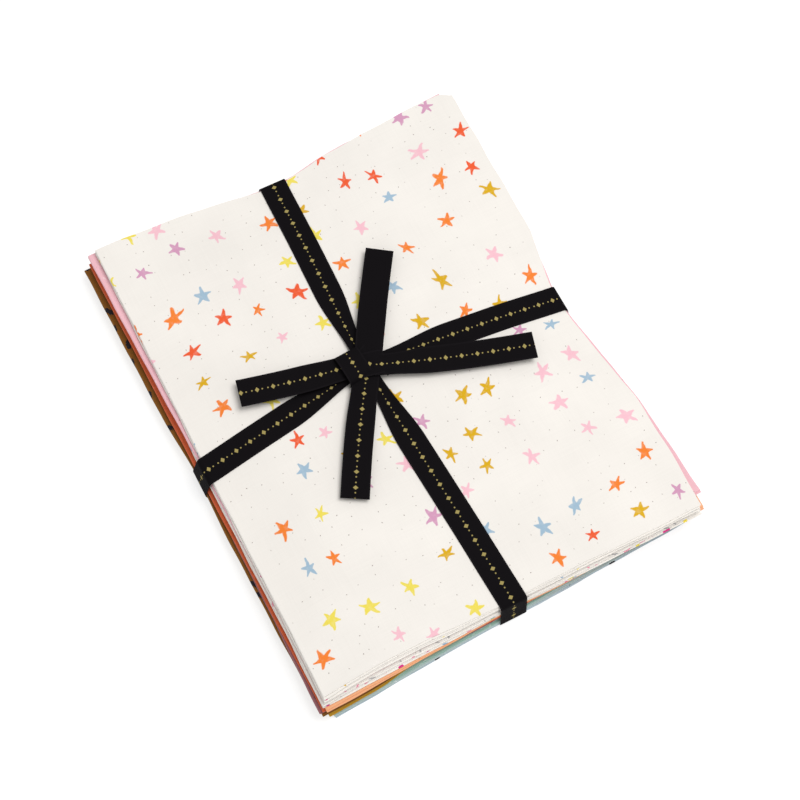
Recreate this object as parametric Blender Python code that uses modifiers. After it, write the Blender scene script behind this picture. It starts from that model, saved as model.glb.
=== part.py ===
"""A bundle of thirteen folded fat quarters of quilting cotton, tied both ways with black ribbon.

Each fat quarter is one cloth folded twice: in half along a first fold at the near end, and in
half again round a spine at the left side. The tie cinches the stack, so its top dips towards
the ribbon at the far and right edges. Lengths below are in millimetres, +Z is up, +Y runs
along the bundle's length away from the near end, and the origin is the middle of its foot.
"""

import math
from collections import namedtuple

import bmesh
import bpy
from mathutils import Vector

MM = 0.001

# The cloth, and the spaces between its leaves and between the folded pieces
CLOTH = 0.28
LEAF_GAP = 0.12
STACK_GAP = 0.38
PAIR = 2 * CLOTH + LEAF_GAP
FOLDED = 2 * PAIR + LEAF_GAP
SPINE_RADIUS = (PAIR + LEAF_GAP) / 2
FOLD_STEPS = 2
COTTON_ROUGHNESS = 0.85

# The folded pieces, the top one first: the corners of each in plan, and its colour
Quarter = namedtuple("Quarter", "name near_left near_right far_left far_right colour")
QUARTERS = (
    Quarter("quarter_01_cream_stars", (-115.0, -143.0), (114.3, -142.6), (-115.0, 142.9), (114.6, 143.2),
            (0.90, 0.87, 0.82)),
    Quarter("quarter_02_cream_dots", (-115.6, -144.0), (113.8, -143.2), (-116.0, 142.0), (113.0, 144.0),
            (0.89, 0.86, 0.82)),
    Quarter("quarter_03_pale_pink", (-113.4, -142.0), (120.0, -134.5), (-120.2, 142.6), (111.0, 149.4),
            (0.86, 0.56, 0.60)),
    Quarter("quarter_04_cream_flecks", (-116.6, -144.8), (115.4, -143.0), (-116.8, 139.8), (112.2, 143.2),
            (0.88, 0.84, 0.80)),
    Quarter("quarter_05_cream_petals", (-116.8, -145.6), (115.8, -143.2), (-117.0, 138.6), (112.4, 141.6),
            (0.88, 0.84, 0.80)),
    Quarter("quarter_06_peach", (-115.6, -148.1), (120.0, -142.3), (-116.2, 139.0), (113.0, 142.0),
            (0.85, 0.42, 0.25)),
    Quarter("quarter_07_coral", (-117.4, -146.6), (116.4, -141.8), (-120.8, 140.8), (111.2, 142.6),
            (0.75, 0.22, 0.12)),
    Quarter("quarter_08_mauve", (-119.3, -146.5), (112.0, -141.2), (-118.0, 139.4), (111.0, 141.0),
            (0.30, 0.14, 0.20)),
    Quarter("quarter_09_mustard", (-118.4, -148.3), (112.5, -140.8), (-124.5, 140.6), (105.5, 143.2),
            (0.42, 0.26, 0.04)),
    Quarter("quarter_10_ochre", (-115.0, -149.5), (112.0, -140.2), (-121.5, 138.0), (105.0, 141.0),
            (0.50, 0.33, 0.03)),
    Quarter("quarter_11_teal", (-112.5, -149.9), (110.5, -140.6), (-119.0, 136.6), (103.0, 141.2),
            (0.22, 0.50, 0.45)),
    Quarter("quarter_12_sky", (-112.0, -150.0), (110.0, -141.6), (-118.5, 136.6), (102.5, 141.0),
            (0.45, 0.60, 0.66)),
    Quarter("quarter_13_grey_blue", (-111.5, -150.4), (109.5, -142.4), (-117.5, 136.0), (102.0, 140.8),
            (0.38, 0.45, 0.50)),
)
PITCH = FOLDED + STACK_GAP
STACK = len(QUARTERS) * PITCH - STACK_GAP

# Lines at which every leaf is creased: two flank each ribbon, so it lies on flat cloth
ACROSS = (-78.0, -15.0, 7.0, 66.0)
ALONG = (-84.0, -13.0, 10.0, 84.0)
RIBBON_LINES = (2, 3)
LAST = len(ACROSS) + 1
EDGE_X = 114.3
EDGE_Y = 142.9
GRID_X = (-EDGE_X, *ACROSS, EDGE_X)
GRID_Y = (-EDGE_Y, *ALONG, EDGE_Y)

# Height of the stack's top as a share of STACK: a row for each line along the length, from the
# near edge to the far one, and in it a column for each line across, from left edge to right
TOP_SHARE = (
    (1.00, 1.02, 0.88, 0.88, 0.96, 0.97),
    (1.00, 1.02, 0.98, 0.98, 0.99, 0.88),
    (0.92, 0.98, 1.00, 1.00, 0.92, 0.70),
    (0.92, 0.98, 1.00, 1.00, 0.92, 0.70),
    (0.99, 1.00, 0.95, 0.95, 0.94, 0.88),
    (1.00, 0.88, 0.72, 0.72, 0.86, 0.96),
)

# Where the tie holds the stack's four sides in, at the foot and at the top
Hold = namedtuple("Hold", "foot top")
HOLD_NEAR = Hold(-147.5, -143.5)
HOLD_FAR = Hold(143.0, 137.0)
HOLD_LEFT = Hold(-120.5, -116.5)
HOLD_RIGHT = Hold(113.0, 109.0)

# The ribbon, which narrows to a neck at the knot and turns a small arc at each edge
RIBBON_WIDTH = 15.9
RIBBON_THICK = 0.35
RIBBON_GAP = 0.30
RIBBON_TURN = 0.9
TURN_STEPS = 3
SHARP_TURN = math.radians(20)
NECK_REACH = 28.0
SEAT = 0.55
BLACK = (0.012, 0.012, 0.014)
RIBBON_ROUGHNESS = 0.7

# The two bands that go right round: the axis they run along, where their start and end lie
# sideways at the edges, and the height of their underside below the stack
Band = namedtuple("Band", "name axis start start_side end end_side underside neck")
CROSSWISE = Band("ribbon_crosswise", 0, HOLD_RIGHT, 1.5, HOLD_LEFT, -4.0, 0.0, 9.0)
LENGTHWISE = Band(
    "ribbon_lengthwise", 1, HOLD_FAR, -5.5, HOLD_NEAR, -2.3, RIBBON_THICK + RIBBON_GAP, 9.0
)
BANDS = (LENGTHWISE, CROSSWISE)

# The knot, and the tails that leave it: the free end's place, and their height on the way
KNOT_X = -11.5
KNOT_Y = 11.5
KNOT_RADIUS = 12.0
KNOT_SIDES = 24
KNOT_HEIGHT = 7.6
KNOT_BEVEL = 2.4
KNOT_CLEAR = 0.3
BAND_RISE = 1.0
Tail = namedtuple("Tail", "name end_x end_y root_z belly_z end_z neck")
TAILS = (
    Tail("tail_far", 28.3, 70.2, 29.0, 27.4, 27.6, 10.0),
    Tail("tail_right", 78.9, -20.2, 28.4, 27.0, 27.2, 10.0),
    Tail("tail_left", -81.5, 26.2, 28.4, 27.6, 29.2, 10.0),
    Tail("tail_near", -52.0, -55.2, 29.2, 27.4, 27.0, 10.0),
)
TAIL_STATIONS = 9


def clear_scene():
    for obj in list(bpy.data.objects):
        bpy.data.objects.remove(obj, do_unlink=True)


def make_material(name, colour, roughness):
    material = bpy.data.materials.new(name)
    material.use_nodes = True
    shader = material.node_tree.nodes["Principled BSDF"]
    shader.inputs["Base Color"].default_value = (*colour, 1.0)
    shader.inputs["Roughness"].default_value = roughness
    shader.inputs["Metallic"].default_value = 0.0
    return material


def mix(start, end, share):
    return start + (end - start) * share


def corners(quarter):
    """The folded piece's corners in plan, by (column, row) of its edge lines."""
    return {
        (0, 0): quarter.near_left,
        (LAST, 0): quarter.near_right,
        (0, LAST): quarter.far_left,
        (LAST, LAST): quarter.far_right,
    }


def stack_origin():
    """The middle of the stack's foot, from the outermost corners of its pieces."""
    points = [point for quarter in QUARTERS for point in corners(quarter).values()]
    middle = [(min(axis) + max(axis)) / 2 for axis in zip(*points)]
    return Vector((*middle, 0.0))


def add_object(mesh, colour, roughness, collection):
    """Links a mesh whose points are in millimetres, with the bundle's origin taken off them."""
    origin = stack_origin()
    for vertex in mesh.vertices:
        vertex.co = (vertex.co - origin) * MM
    mesh.materials.append(make_material(mesh.name, colour, roughness))
    obj = bpy.data.objects.new(mesh.name, mesh)
    collection.objects.link(obj)
    return obj


def finish_mesh(form, name):
    bmesh.ops.recalc_face_normals(form, faces=form.faces)
    mesh = bpy.data.meshes.new(name)
    form.to_mesh(mesh)
    form.free()
    return mesh


def plan_point(quarter, column, row, share):
    """Where two crease lines of a piece cross; share is the piece's height in the stack."""
    corner = corners(quarter)
    on_side = column in (0, LAST)
    on_end = row in (0, LAST)
    if on_side and on_end:
        return corner[column, row]
    if on_side:
        y = ALONG[row - 1]
        near, far = corner[column, 0], corner[column, LAST]
        x = mix(near[0], far[0], (y - near[1]) / (far[1] - near[1]))
        if row in RIBBON_LINES and column == 0:
            x = max(x, mix(*HOLD_LEFT, share))
        elif row in RIBBON_LINES:
            x = min(x, mix(*HOLD_RIGHT, share))
        return x, y
    if on_end:
        x = ACROSS[column - 1]
        left, right = corner[0, row], corner[LAST, row]
        y = mix(left[1], right[1], (x - left[0]) / (right[0] - left[0]))
        if column in RIBBON_LINES and row == 0:
            y = max(y, mix(*HOLD_NEAR, share))
        elif column in RIBBON_LINES:
            y = min(y, mix(*HOLD_FAR, share))
        return x, y
    return ACROSS[column - 1], ALONG[row - 1]


def lift_of(column, row):
    """How far the ribbons below raise the stack's foot."""
    if column in RIBBON_LINES:
        return LENGTHWISE.underside + RIBBON_THICK + RIBBON_GAP
    if row in RIBBON_LINES:
        return CROSSWISE.underside + RIBBON_THICK + RIBBON_GAP
    return 0.0


def share_between(value, lines):
    """(index of the line below a value, share of the way to the next); it runs on past the ends."""
    index = max(i for i in range(len(lines) - 1) if value >= lines[i] or i == 0)
    return index, (value - lines[index]) / (lines[index + 1] - lines[index])


def top_share(x, y):
    """Height of the stack's top at a point in plan, as a share of STACK."""
    column, share_x = share_between(x, GRID_X)
    row, share_y = share_between(y, GRID_Y)
    near = mix(TOP_SHARE[row][column], TOP_SHARE[row][column + 1], share_x)
    far = mix(TOP_SHARE[row + 1][column], TOP_SHARE[row + 1][column + 1], share_x)
    return mix(near, far, share_y)


def fold_angles():
    return [math.pi * (step / FOLD_STEPS - 0.5) for step in range(FOLD_STEPS + 1)]


def spine_stations():
    """(column, angle) along the cloth: under run, round the spine at the left, and back over it."""
    under = [(column, -math.pi / 2) for column in range(LAST, 0, -1)]
    over = [(column, math.pi / 2) for column in range(1, LAST + 1)]
    return under + [(0, angle) for angle in fold_angles()] + over


def leaf_outline():
    """(row, angle, radius) round the section of the pair of leaves, whose fold is at the near end."""
    outer = [(row, math.pi / 2) for row in range(LAST, 0, -1)]
    outer += [(0, angle) for angle in reversed(fold_angles())]
    outer += [(row, -math.pi / 2) for row in range(1, LAST + 1)]
    inner = list(reversed(outer))
    return [(*point, PAIR / 2) for point in outer] + [(*point, LEAF_GAP / 2) for point in inner]


def quarter_point(quarter, foot, station, leaf):
    """One point of the cloth: the leaf section gives its offset, which the spine then turns.

    The tie then presses its height down with the rest of the stack, and the ribbons lift it.
    """
    column, spine_angle = station
    row, leaf_angle, leaf_radius = leaf
    x, y = plan_point(quarter, column, row, (foot + FOLDED / 2) / STACK)
    radius = SPINE_RADIUS + leaf_radius * math.sin(leaf_angle)
    if column == 0:
        x += FOLDED / 2 - radius * math.cos(spine_angle)
    if row == 0:
        y += PAIR / 2 - leaf_radius * math.cos(leaf_angle)
    loose = foot + FOLDED / 2 + radius * math.sin(spine_angle)
    return Vector((x, y, loose * top_share(x, y) + lift_of(column, row) * (1 - loose / STACK)))


def add_split_quad(form, a, b, c, d):
    """Two triangles, always split along the same diagonal in plan so that leaves nest."""
    facing = (b.co.x - a.co.x) * (d.co.y - a.co.y) + (c.co.x - d.co.x) * (c.co.y - b.co.y)
    if facing > 0:
        form.faces.new((a, b, c))
        form.faces.new((a, c, d))
    else:
        form.faces.new((a, b, d))
        form.faces.new((b, c, d))


def folded_quarter(quarter, foot):
    """The cloth's mesh: the section of its two leaves, swept along the path round the spine."""
    outline = leaf_outline()
    form = bmesh.new()
    rings = [
        [form.verts.new(quarter_point(quarter, foot, station, leaf)) for leaf in outline]
        for station in spine_stations()
    ]
    count = len(outline)
    for first, second in zip(rings, rings[1:]):
        for index in range(count):
            after = (index + 1) % count
            add_split_quad(form, first[index], second[index], second[after], first[after])
    for ring in (rings[0], rings[-1]):
        for index in range(count // 2 - 1):
            add_split_quad(form, ring[index], ring[index + 1], ring[-index - 2], ring[-index - 1])
    return finish_mesh(form, quarter.name)


def rounded(points):
    """The path with each sharp turn made an arc."""
    path = [points[0]]
    for before, corner, after in zip(points, points[1:], points[2:]):
        into = (corner - before).normalized()
        out = (after - corner).normalized()
        turn = into.angle(out)
        if turn < SHARP_TURN:
            path.append(corner)
            continue
        reach = RIBBON_TURN * math.tan(turn / 2)
        centre = corner + (out - into).normalized() * (RIBBON_TURN / math.cos(turn / 2))
        start = corner - into * reach - centre
        end = corner + out * reach - centre
        path += [
            centre + start.slerp(end, step / TURN_STEPS) * RIBBON_TURN
            for step in range(TURN_STEPS + 1)
        ]
    path.append(points[-1])
    return path


def width_at(point, neck):
    """Full width away from the knot, drawn in to the neck's where the ribbon enters it."""
    if point.z < STACK / 2:
        return RIBBON_WIDTH
    reach = math.hypot(point.x - KNOT_X, point.y - KNOT_Y) - KNOT_RADIUS
    return mix(neck, RIBBON_WIDTH, min(reach / NECK_REACH, 1.0))


def add_strip(name, path, side, neck, collection):
    """A flat ribbon along a path: an open surface given its thickness; side is its width's way."""
    form = bmesh.new()
    rungs = []
    for index, point in enumerate(path):
        tangent = (path[min(index + 1, len(path) - 1)] - path[max(index - 1, 0)]).normalized()
        across = (side - tangent * side.dot(tangent)).normalized()
        half = across * (width_at(point, neck) / 2)
        rungs.append((form.verts.new(point - half), form.verts.new(point + half)))
    for first, second in zip(rungs, rungs[1:]):
        form.faces.new((first[0], first[1], second[1], second[0]))
    strip = add_object(finish_mesh(form, name), BLACK, RIBBON_ROUGHNESS, collection)
    solidify = strip.modifiers.new("thickness", "SOLIDIFY")
    solidify.thickness = RIBBON_THICK * MM
    solidify.offset = 0.0
    solidify.use_even_offset = True


def on_top(x, y, rise=0.0):
    """The ribbon's middle where it lies on the stack's top, or a little above."""
    return Vector((x, y, STACK * top_share(x, y) + SEAT + rise))


def from_knot(x, y):
    """The point just outside the knot on the way to a place in plan, and the unit way there."""
    way = Vector((x - KNOT_X, y - KNOT_Y, 0.0)).normalized()
    return Vector((KNOT_X, KNOT_Y, 0.0)) + way * (KNOT_RADIUS + KNOT_CLEAR), way


def band_half(band, hold, side):
    """From the knot over the top to an edge, and down it to the foot."""
    edge = (hold.top, side) if band.axis == 0 else (side, hold.top)
    start, way = from_knot(*edge)
    landing = start + way * NECK_REACH
    crease_lines = ACROSS if band.axis == 0 else ALONG
    path = [on_top(start.x, start.y, BAND_RISE), on_top(landing.x, landing.y)]
    for line in sorted(crease_lines, key=abs):
        share = (line - landing[band.axis]) / (edge[band.axis] - landing[band.axis])
        if 0 < share < 1:
            path.append(on_top(mix(landing.x, edge[0], share), mix(landing.y, edge[1], share)))
    outward = Vector((0.0, 0.0, 0.0))
    outward[band.axis] = math.copysign(SEAT, hold.top)
    path.append(on_top(*edge) + outward)
    foot = Vector((*edge, band.underside + RIBBON_THICK / 2)) + outward
    foot[band.axis] += hold.foot - hold.top
    path.append(foot)
    return path


def band_path(band):
    """From the knot to one edge, under the stack, and up the other edge to the knot again."""
    first = band_half(band, band.start, band.start_side)
    second = band_half(band, band.end, band.end_side)
    return rounded(first + second[::-1])


def tail_path(tail):
    """From the knot, down to the belly and out to the free end."""
    start, _ = from_knot(tail.end_x, tail.end_y)
    path = []
    for index in range(TAIL_STATIONS):
        share = index / (TAIL_STATIONS - 1)
        falling = mix(tail.root_z, tail.belly_z, share)
        rising = mix(tail.belly_z, tail.end_z, share)
        height = mix(falling, rising, share)
        path.append(Vector((mix(start.x, tail.end_x, share), mix(start.y, tail.end_y, share), height)))
    return path


def knot_mesh():
    """A low round cushion of wrapped ribbon, standing on the top cloth."""
    foot = STACK * top_share(KNOT_X, KNOT_Y) + RIBBON_GAP
    form = bmesh.new()
    bmesh.ops.create_cone(
        form,
        cap_ends=True,
        segments=KNOT_SIDES,
        radius1=KNOT_RADIUS,
        radius2=KNOT_RADIUS,
        depth=KNOT_HEIGHT,
    )
    caps = [face for face in form.faces if len(face.verts) == KNOT_SIDES]
    rims = [edge for face in caps for edge in face.edges]
    bmesh.ops.bevel(form, geom=rims, offset=KNOT_BEVEL, segments=3, profile=0.5, affect="EDGES")
    bmesh.ops.translate(form, verts=form.verts, vec=(KNOT_X, KNOT_Y, foot + KNOT_HEIGHT / 2))
    return finish_mesh(form, "knot")


def build():
    clear_scene()
    bundle = bpy.data.collections.new("fat_quarter_bundle")
    bpy.context.scene.collection.children.link(bundle)

    for index, quarter in enumerate(QUARTERS):
        foot = (len(QUARTERS) - 1 - index) * PITCH
        add_object(folded_quarter(quarter, foot), quarter.colour, COTTON_ROUGHNESS, bundle)

    for band in BANDS:
        side = Vector((0.0, 0.0, 0.0))
        side[1 - band.axis] = 1.0
        add_strip(band.name, band_path(band), side, band.neck, bundle)

    add_object(knot_mesh(), BLACK, RIBBON_ROUGHNESS, bundle)
    for tail in TAILS:
        _, way = from_knot(tail.end_x, tail.end_y)
        side = way.cross(Vector((0.0, 0.0, 1.0)))
        add_strip(tail.name, tail_path(tail), side, tail.neck, bundle)


build()
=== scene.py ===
"""The looks of a bundle of thirteen folded fat quarters, tied both ways with black ribbon.

Each cloth is a fine closed sheet folded in half twice, in the space that its CAD solid holds, and
each ribbon is a woven strip. Lengths below are in millimetres in the bundle's own plan, whose
origin is the middle of the top cloth; ORIGIN is the place of the model's own origin in that plan.
"""

import math
from collections import namedtuple

import bpy
import numpy as np
from mathutils import Matrix, Vector


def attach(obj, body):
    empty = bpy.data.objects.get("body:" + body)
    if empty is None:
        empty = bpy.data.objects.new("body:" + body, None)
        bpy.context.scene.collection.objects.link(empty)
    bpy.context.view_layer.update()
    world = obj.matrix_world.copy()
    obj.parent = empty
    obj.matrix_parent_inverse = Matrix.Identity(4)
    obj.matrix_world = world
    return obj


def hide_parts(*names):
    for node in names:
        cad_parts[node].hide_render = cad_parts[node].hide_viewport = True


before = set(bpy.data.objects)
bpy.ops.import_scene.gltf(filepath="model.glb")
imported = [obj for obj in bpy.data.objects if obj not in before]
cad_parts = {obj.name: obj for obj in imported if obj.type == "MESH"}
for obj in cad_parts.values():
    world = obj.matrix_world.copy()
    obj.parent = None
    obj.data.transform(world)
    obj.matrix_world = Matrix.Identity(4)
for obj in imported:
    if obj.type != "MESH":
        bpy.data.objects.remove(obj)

MM = 0.001
ORIGIN = np.array((-2.25, -0.5, 0.0))
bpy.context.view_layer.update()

# The cloth, and the spaces between its leaves and between the folded pieces
CLOTH = 0.28
LEAF_GAP = 0.12
STACK_GAP = 0.38
PAIR = 2 * CLOTH + LEAF_GAP
FOLDED = 2 * PAIR + LEAF_GAP
SPINE_RADIUS = (PAIR + LEAF_GAP) / 2

# A cloth's mesh: half the width and length of its plain middle, the spacing there in the top piece
# and in the others, the steps from there to an edge, and the steps round the spine and the folds
INNER_X = 99.0
INNER_Y = 126.0
TOP_SPACING = 3.0
SPACING = 6.0
EDGE_STEPS = np.array((0.22, 0.42, 0.60, 0.75, 0.87, 0.95, 1.0))
SPINE_STEPS = 8
LEAF_STEPS = 6
SETTLING_ROUNDS = 3
SHARP_ANGLE = math.radians(50)

# The flat measure: mm for each radian round the spine and round a fold, and the mm from the middle
# of each to where the plain leaf starts
SPINE_MEASURE = 0.6
FOLD_MEASURE = 0.3
SPINE_HALF = 1.0
FOLD_HALF = 0.5

# The folded pieces, the top one first: the corners of each in plan, its slot, how far its near edge
# bows in, and how far that edge is tucked in past the near left corner
Quarter = namedtuple(
    "Quarter", "name near_left near_right far_left far_right slot bow tuck", defaults=(0.0, 0.0)
)
QUARTERS = (
    Quarter("quarter_01_cream_stars", (-115.0, -143.0), (114.3, -142.6), (-115.0, 142.9), (114.6, 143.2),
            "cotton_cream_stars", bow=2.7),
    Quarter("quarter_02_cream_dots", (-115.6, -144.0), (113.8, -143.2), (-115.4, 142.0), (113.0, 144.0),
            "cotton_cream_plain", bow=2.0),
    Quarter("quarter_03_pale_pink", (-113.4, -142.0), (121.0, -134.5), (-120.2, 142.6), (110.4, 149.4),
            "cotton_pale_pink"),
    Quarter("quarter_04_cream_flecks", (-116.6, -144.8), (115.4, -143.6), (-116.8, 139.8), (112.2, 143.2),
            "cotton_cream_plain", bow=1.0),
    Quarter("quarter_05_cream_petals", (-116.8, -145.6), (115.8, -144.4), (-117.0, 138.6), (112.4, 141.6),
            "cotton_cream_plain", bow=0.4),
    Quarter("quarter_06_peach", (-115.6, -148.1), (118.8, -142.3), (-116.2, 139.0), (113.0, 142.0),
            "cotton_peach"),
    Quarter("quarter_07_coral", (-117.4, -146.6), (116.4, -141.8), (-120.8, 140.8), (111.2, 142.6),
            "cotton_coral"),
    Quarter("quarter_08_mauve", (-119.3, -146.5), (112.0, -141.2), (-116.5, 139.4), (111.0, 141.0),
            "cotton_mauve"),
    Quarter("quarter_09_mustard", (-118.4, -148.3), (112.5, -140.8), (-124.5, 140.6), (105.5, 143.2),
            "cotton_mustard", tuck=2.0),
    Quarter("quarter_10_ochre", (-115.0, -149.5), (112.0, -140.2), (-121.5, 138.0), (105.0, 141.0),
            "cotton_ochre", tuck=2.4),
    Quarter("quarter_11_teal", (-112.5, -149.2), (110.5, -139.9), (-119.0, 136.6), (103.0, 141.2),
            "cotton_teal"),
    Quarter("quarter_12_sky", (-112.0, -150.0), (110.0, -141.6), (-118.5, 136.6), (102.5, 141.0),
            "cotton_sky"),
    Quarter("quarter_13_grey_blue", (-111.5, -150.4), (109.5, -142.4), (-117.5, 136.0), (102.0, 140.8),
            "cotton_grey_blue"),
)
PITCH = FOLDED + STACK_GAP
STACK = len(QUARTERS) * PITCH - STACK_GAP

# Gentle waves along the edges: their lengths, how much of each there may be, and their heights at
# the spine, at the raw edges and at the near folds
WAVE_LENGTHS = (151.0, 67.0, 31.0)
WAVE_SHARES = (0.4, 1.0)
SPINE_WAVE = 0.35
RAW_WAVE = 0.4
FOLD_WAVE = 0.3

# How far the leaves are out of line: between the two near folds, the least and most at the right
# and far edges, and the share of it that the upper leaf of a half adds at the right
NEAR_STEP = 1.0
RIGHT_STEPS = (-0.7, 0.4)
FAR_STEPS = (-0.8, 0.4)
UPPER_LEAF = 0.6

# Seeds of the random draws for the steps and for each edge's waves
STEP_SEED = 400
LEFT_SEED = 10
RIGHT_SEED = 30
NEAR_SEED = 90
FAR_SEED = 150

# Parts of an edge that swell out or sag in: how far, and where that comes and goes
Swell = namedtuple("Swell", "size rise_start rise_end fall_start fall_end")
TOP_CORNER = Swell(4.2, 15.0, 100.0, 107.0, 116.0)
TOP_BULGE = Swell(1.8, -142.0, -112.0, -75.0, -20.0)
PINK_SAG = Swell(-2.2, -110.0, -70.0, 62.0, 88.0)

# The near edge's bow, as hollows with a middle, a reach and a share of the depth, and the places
# between which the bow and the tuck set in
HOLLOWS = ((-66.0, 44.0, 1.0), (30.0, 45.0, 0.5))
BOW_START = (-115.0, -98.0)
TUCK_START = (-86.0, -60.0)

# Lines across and along at which the stack's height is given; the ribbons lie between the middle two
LINES_X = np.array((-114.3, -78.0, -15.0, 7.0, 66.0, 114.3))
LINES_Y = np.array((-142.9, -84.0, -13.0, 10.0, 84.0, 142.9))

# Height of the stack's top as a share of STACK: a row for each of LINES_Y, the near one first, with
# a column for each of LINES_X; how far the ribbons below lift the foot at those lines; and how much
# of the outermost slopes is kept
TOP_SHARE = np.array((
    (1.00, 1.02, 0.88, 0.88, 0.96, 0.97),
    (1.00, 1.02, 0.98, 0.98, 0.99, 0.88),
    (0.92, 0.98, 1.00, 1.00, 0.92, 0.70),
    (0.92, 0.98, 1.00, 1.00, 0.92, 0.70),
    (0.99, 1.00, 0.95, 0.95, 0.94, 0.88),
    (1.00, 0.88, 0.72, 0.72, 0.86, 0.96),
))
LIFT_X = np.array((0.0, 0.0, 1.3, 1.3, 0.0, 0.0))
LIFT_Y = np.array((0.0, 0.0, 0.65, 0.65, 0.0, 0.0))
END_SLOPE = 0.6

# Where the tie holds the stack's four sides in, at the foot, at HOLD_MIDDLE of the height and at the
# top; where along the side the ribbon is; and how far its pull reaches to lower and to higher x or y
Hold = namedtuple("Hold", "foot middle top ribbon_at reach_below reach_above")
HOLD_NEAR = Hold(-146.6, -145.2, -142.7, -2.3, 74.0, 74.0)
HOLD_FAR = Hold(143.0, 141.6, 139.2, -5.5, 45.0, 25.0)
HOLD_LEFT = Hold(-118.2, -120.1, -116.5, -4.0, 30.0, 30.0)
HOLD_RIGHT = Hold(113.0, 111.6, 109.0, 1.5, 60.0, 34.0)
HOLD_MIDDLE = 0.36

# The topmost pieces are held further in. The pull is whole up to PULLED_HALF beside the ribbon's
# line and fades from there, one part of it evenly and the other close by
ROUNDED_OFF = 1.5
ROUNDED_FROM = 0.8
PULLED_HALF = 10.0
EVEN_PULL = 0.7
CLOSE_PULL = 0.3
CLOSE_REACH = 16.0

# The ribbons' ends on top; and how far beside a ribbon, and how much, the cloth lies calmer
NEAR_EDGE = -143.0
FAR_EDGE = 143.0
LEFT_EDGE = -117.0
RIGHT_EDGE = 113.0
CALM_REACH = 13.0
CALM = 0.8

# Soft waves of the top cloths: height, the mm in x and in y that turn each by a radian, and phase.
# The long one sways from side to side
Wave = namedtuple("Wave", "height length_x length_y phase")
WAVES = (
    Wave(0.14, 61.0, 26.0, 1.1),
    Wave(0.10, 17.0, 17.0, 2.3),
    Wave(0.07, 11.0, -11.0 / 1.7, 0.4),
)
LONG_WAVE = 0.16
LONG_LENGTH = 21.0
SWAY = 0.7
SWAY_LENGTH = 37.0

# Pleats where the ribbon cinches an edge: their middle, reach, height, spacing and the axis that
# they follow each other along
Pleats = namedtuple("Pleats", "x y reach_x reach_y height spacing axis")
PLEATS = (
    Pleats(-4.0, 139.0, 34.0, 26.0, 0.34, 4.6, 0),
    Pleats(111.0, 1.0, 24.0, 34.0, 0.30, 4.9, 1),
    Pleats(-2.0, -142.0, 30.0, 22.0, 0.20, 4.4, 0),
)

# The ribbon: how it turns at the shoulder, the side and the foot, how it rests on the cloth, how it
# narrows and rises towards the knot; then its two bands and the four tails
RIBBON_WIDTH = 15.9
RIBBON_THICK = 0.35
SHOULDER = 2.8
SIDE_TURN = 6.0
FOOT_TURN = 1.0
ARC_STEPS = 6
STRAIGHT = 0.01
RIBBON_REST = 0.3
RIBBON_OUT = 0.55
STATION = 1.0
STRIP_COLUMNS = 8
KNOT = np.array((-11.5, 11.5))
KNOT_RADIUS = 11.0
KNOT_RISE = 1.6
KNOT_SLOPE = 26.0
BAND_START = 4.0
SHOULDER_ROOM = 0.6
NECK_START = -2.0
NECK_REACH = 40.0
NECK_WIDTH = 8.0
NECK_CUP = 0.10
Band = namedtuple("Band", "name axis start end underside face_up")
BANDS = (
    Band("ribbon_lengthwise", 1, HOLD_FAR, HOLD_NEAR, 0.65, True),
    Band("ribbon_crosswise", 0, HOLD_RIGHT, HOLD_LEFT, 0.0, False),
)
Tail = namedtuple("Tail", "name start_x start_y end_x end_y root_z belly_z end_z neck curl face_up")
TAILS = (
    Tail("tail_far", -12.6, 6.6, 28.3, 70.2, 30.3, 27.4, 27.4, 15.4, 0.3, False),
    Tail("tail_right", -8.0, 8.0, 78.9, -20.2, 30.4, 26.9, 27.0, 12.6, -0.4, True),
    Tail("tail_left", -14.0, 13.0, -81.5, 26.2, 28.4, 27.6, 29.0, 14.0, 0.4, True),
    Tail("tail_near", -12.5, 7.0, -52.0, -55.2, 28.8, 27.2, 26.9, 14.6, -0.4, True),
)
TAIL_STATIONS = 48
TAIL_BEND = 2.2
TAIL_RIPPLE = 0.25
RIPPLE_TURN = 9.0
RIPPLE_SHIFT = 4.0
RIPPLE_END = 1.2
TAIL_NECK = (8.0, 34.0)
ROOT_CUP = -0.6
END_CUP = 0.25

# The knot's wraps: hoops of ribbon with a middle, a heading in degrees, a reach, a foot and a top;
# then the degrees that a hoop goes round, and the powers that blunt its sides and its crown
Wrap = namedtuple("Wrap", "x y heading reach low high width")
WRAPS = (
    Wrap(-9.2, 9.4, -12.0, 8.8, 26.8, 30.2, 14.2),
    Wrap(-11.0, 13.0, 25.0, 9.5, 26.7, 29.6, 12.0),
    Wrap(-18.0, 12.9, 94.0, 9.2, 27.0, 31.4, 14.4),
)
WRAP_ENDS = (-32, 212)
WRAP_STATIONS = 40
WRAP_SIDES = 0.6
WRAP_CROWN = 0.75

# The camera, from the photograph: degrees round from the near side, up, and its roll; distances in mm
CAMERA_AZIMUTH = -35.75
CAMERA_ELEVATION = 68.5
CAMERA_ROLL = -8.54
CAMERA_AIM = np.array((-0.07, -10.41, 10.0))
CAMERA_DISTANCE = 950.0
CAMERA_LENS = 76.5
CAMERA_SENSOR = 36.0

# The studio, in metres: its even light, the key light, and the white floor
WORLD_STRENGTH = 0.52
KEY_PLACE = (0.65, -0.15, 2.0)
KEY_SIZE = 1.4
KEY_POWER = 27.5
WHITE = (1.0, 1.0, 1.0, 1.0)
FLOOR_GREYS = ((0.39, 0.39, 0.39), (0.41, 0.41, 0.41))
FLOOR_GLOW = 0.7
FLOOR_SIZE = 6.0
FLOOR_DROP = 0.0002
OBJECT_COORDINATES = 3


def mix(start, end, share):
    return start + (end - start) * share


def smooth_step(value, start, end):
    share = np.clip((value - start) / (end - start), 0.0, 1.0)
    return share * share * (3 - 2 * share)


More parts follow.
